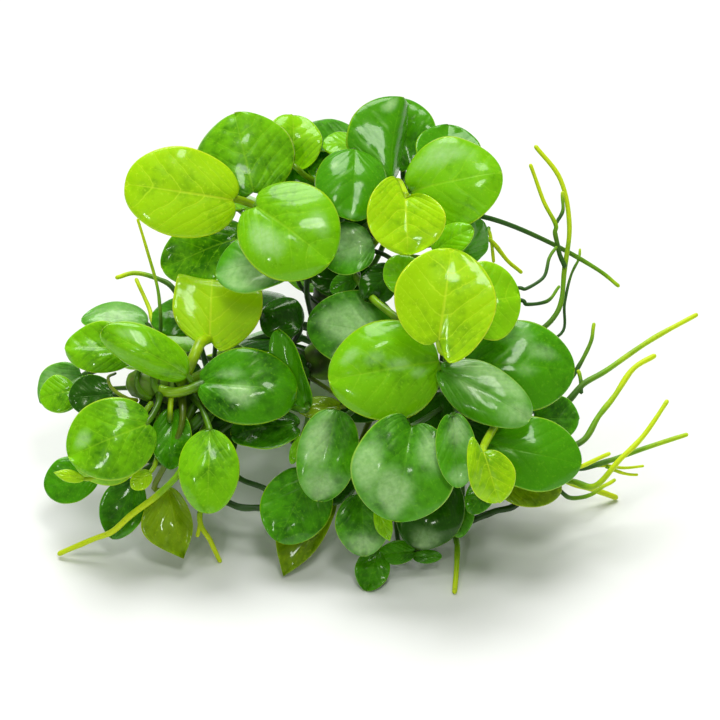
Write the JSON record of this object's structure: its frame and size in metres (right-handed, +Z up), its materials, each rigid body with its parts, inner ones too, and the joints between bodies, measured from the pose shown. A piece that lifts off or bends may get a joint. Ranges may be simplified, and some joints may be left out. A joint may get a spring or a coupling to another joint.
{
  "type": "dwarf anubias plant",
  "caption": "Loose bare-root dwarf anubias: round glossy leaves on stalks, a creeping branched rhizome and wiry roots, resting on its leaf and root tips.",
  "frame": {"origin": "on the surface that the plant rests on, under the middle of its bounding box", "axes": "+X to the right across the front of the plant, +Y to its back, +Z up"},
  "size_m": [0.0997, 0.0668, 0.0528],
  "materials": {
    "leaf": "gloss",
    "rhizome": "satin"
  },
  "bodies": {
    "root": {"leaf_top_1": "leaf", "leaf_top_2": "leaf", "leaf_top_3": "leaf", "leaf_top_4": "leaf", "leaf_top_5": "leaf", "leaf_top_6": "leaf", "leaf_top_7": "leaf", "leaf_top_8": "leaf", "leaf_top_9": "leaf", "leaf_top_10": "leaf", "leaf_top_11": "leaf", "leaf_left_1": "leaf", "leaf_left_2": "leaf", "leaf_left_3": "leaf", "leaf_left_4": "leaf", "leaf_left_5": "leaf", "leaf_left_6": "leaf", "leaf_left_7": "leaf", "leaf_left_8": "leaf", "leaf_left_9": "leaf", "leaf_left_10": "leaf", "leaf_left_11": "leaf", "leaf_left_12": "leaf", "leaf_left_13": "leaf", "leaf_left_14": "leaf", "leaf_left_15": "leaf", "leaf_left_16": "leaf", "leaf_middle_1": "leaf", "leaf_middle_2": "leaf", "leaf_middle_3": "leaf", "leaf_middle_4": "leaf", "leaf_middle_5": "leaf", "leaf_middle_6": "leaf", "leaf_right_1": "leaf", "leaf_right_2": "leaf", "leaf_right_3": "leaf", "leaf_right_4": "leaf", "leaf_right_5": "leaf", "leaf_right_6": "leaf", "leaf_right_7": "leaf", "leaf_front_1": "leaf", "leaf_front_2": "leaf", "leaf_front_3": "leaf", "leaf_front_4": "leaf", "leaf_front_5": "leaf", "leaf_front_6": "leaf", "leaf_front_7": "leaf", "leaf_front_8": "leaf", "leaf_front_9": "leaf", "leaf_back_1": "leaf", "leaf_back_2": "leaf", "leaf_back_3": "leaf", "leaf_back_4": "leaf", "leaf_back_5": "leaf", "leaf_back_6": "leaf", "leaf_back_7": "leaf", "rhizome_old_stem": "rhizome", "rhizome_left_branch": "rhizome", "rhizome_right_branch": "rhizome", "rhizome_top_branch": "rhizome"}
  },
  "joints": []
}
